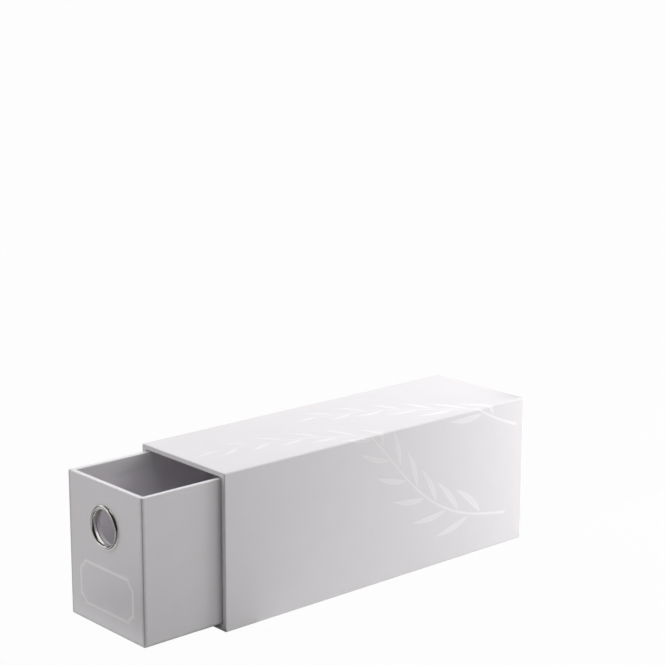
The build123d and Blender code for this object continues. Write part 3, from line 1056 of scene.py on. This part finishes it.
class CARDBOX_OT_stage(bpy.types.Operator):
    """Set the white floor, the soft light and the camera"""

    bl_idname = "cardbox.stage"
    bl_label = "Stage"

    def execute(self, context):
        scene = context.scene
        colours = scene.card_box.colours
        scene.view_settings.view_transform = "Standard"
        self.set_world(scene)
        self.set_floor(colours.floor)
        for card in CARDS:
            self.set_card(card, colours.card)
        for sheet in SHEETS:
            self.set_sheet(sheet)
        for lamp in LAMPS:
            self.set_lamp(lamp)
        self.set_camera(scene)
        return {"FINISHED"}

    def set_world(self, scene):
        """A plain sky that shows white and lights the box a little more than that."""
        world = bpy.data.worlds.new("white_room")
        world.use_nodes = True
        scene.world = world
        tree = world.node_tree
        sky = tree.nodes["Background"]
        sky.inputs["Color"].default_value = WHITE
        level = spread(tree, seen_rays(tree), 0.0, 1.0, SKY_LEVEL, 1.0)
        tree.links.new(level, sky.inputs["Strength"])

    def set_floor(self, tone):
        """A wide pale floor."""
        deselect()
        bpy.ops.mesh.primitive_plane_add(size=FLOOR_SIZE)
        floor = settle("floor")
        floor.data.materials.append(floor_finish("floor_white", tone))

    def set_card(self, card, tone):
        """A bent dark card on the camera's side, which shades the box or shows in its metal."""
        foot, top = card.rise
        deselect()
        bpy.ops.mesh.primitive_circle_add(vertices=CARD_STEPS, radius=CARD_RADIUS, location=CARD_PLACE)
        piece = settle(card.name)

        def left_out(vertex):
            reach = vertex.co - CARD_PLACE
            return not card.ends[0] < atan2(reach.y, reach.x) < card.ends[1]

        edit(piece)
        choose(piece, "VERT", left_out)
        bpy.ops.mesh.delete(type="VERT")
        select_whole()
        pull_out((0.0, 0.0, top - foot))
        select_whole()
        bpy.ops.transform.translate(value=(0.0, 0.0, foot))
        close()
        self.keep_from_sight(piece, tone, card)

    def set_sheet(self, sheet):
        """A thin sheet between two corners, which shades the box a little or shows in its reflections."""
        piece = start_block(sheet.name, Vector(sheet.low), Vector(sheet.high))
        self.keep_from_sight(piece, (sheet.tone, sheet.tone, sheet.tone), sheet)

    def keep_from_sight(self, piece, tone, row):
        """Give a card or sheet of the stage a matt tone and keep it out of the camera's sight."""
        piece.visible_camera = False
        piece.visible_diffuse = row.shades
        piece.visible_shadow = row.shades
        piece.visible_glossy = row.shows
        material = bpy.data.materials.new(row.name)
        material.use_nodes = True
        shader = material.node_tree.nodes["Principled BSDF"]
        shader.inputs["Base Color"].default_value = (*tone, 1.0)
        shader.inputs["Roughness"].default_value = MATT
        piece.data.materials.append(material)

    def set_lamp(self, lamp):
        """A soft lamp with a beam of this width, out of the camera's sight."""
        line = Vector(lamp.aim) - Vector(lamp.place)
        deselect()
        bpy.ops.object.light_add(type="AREA", location=lamp.place)
        light = bpy.context.object
        light.name = lamp.name
        light.data.energy = lamp.power
        light.data.spread = lamp.beam
        light.data.shape = "RECTANGLE"
        light.data.size, light.data.size_y = lamp.size
        light.visible_camera = False
        light.visible_glossy = False
        light.rotation_euler = line.to_track_quat("-Z", "Y").to_euler()

    def set_camera(self, scene):
        """The camera, at the photograph's angle."""
        deselect()
        bpy.ops.object.camera_add(location=CAMERA_PLACE)
        camera = bpy.context.object
        camera.name = "camera"
        camera.data.sensor_width = CAMERA_SENSOR
        camera.data.lens = CAMERA_LENS
        turned = Matrix.Rotation(CAMERA_AZIMUTH, 4, "Z")
        tipped = Matrix.Rotation(pi / 2 - CAMERA_ELEVATION, 4, "X")
        rolled = Matrix.Rotation(CAMERA_ROLL, 4, "Z")
        camera.rotation_euler = (turned @ tipped @ rolled).to_euler()
        scene.camera = camera


# Add-on

class CARDBOX_PT_panel(bpy.types.Panel):
    """Sizes, colours and the steps that make the box"""

    bl_label = "Card drawer box"
    bl_idname = "CARDBOX_PT_panel"
    bl_space_type = "VIEW_3D"
    bl_region_type = "UI"
    bl_category = "Card box"

    def draw(self, context):
        settings = context.scene.card_box
        for group in (settings.cover, settings.ring, settings.prints, settings.colours):
            column = self.layout.column(align=True)
            for name in group.__annotations__:
                column.prop(group, name)
        column = self.layout.column(align=True)
        for step in STEPS:
            column.operator(step.bl_idname)


STEPS = (
    CARDBOX_OT_boards,
    CARDBOX_OT_linings,
    CARDBOX_OT_sleeve_cover,
    CARDBOX_OT_drawer_cover,
    CARDBOX_OT_finger_ring,
    CARDBOX_OT_label_frame,
    CARDBOX_OT_leaf_spray,
    CARDBOX_OT_stage,
)
GROUPS = (CoverSizes, RingSizes, PrintSizes, BoxColours, CardBoxSettings)
CLASSES = (*GROUPS, *STEPS, CARDBOX_PT_panel)


def register():
    """Add the settings, the steps and the panel."""
    for kind in CLASSES:
        bpy.utils.register_class(kind)
    bpy.types.Scene.card_box = PointerProperty(type=CardBoxSettings)


def unregister():
    """Take the settings, the steps and the panel out again."""
    del bpy.types.Scene.card_box
    for kind in reversed(CLASSES):
        bpy.utils.unregister_class(kind)


def main():
    """Make the box and its stage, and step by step."""
    register()
    for step in STEPS:
        group, name = step.bl_idname.split(".")
        getattr(getattr(bpy.ops, group), name)()


if __name__ == "__main__":
    main()
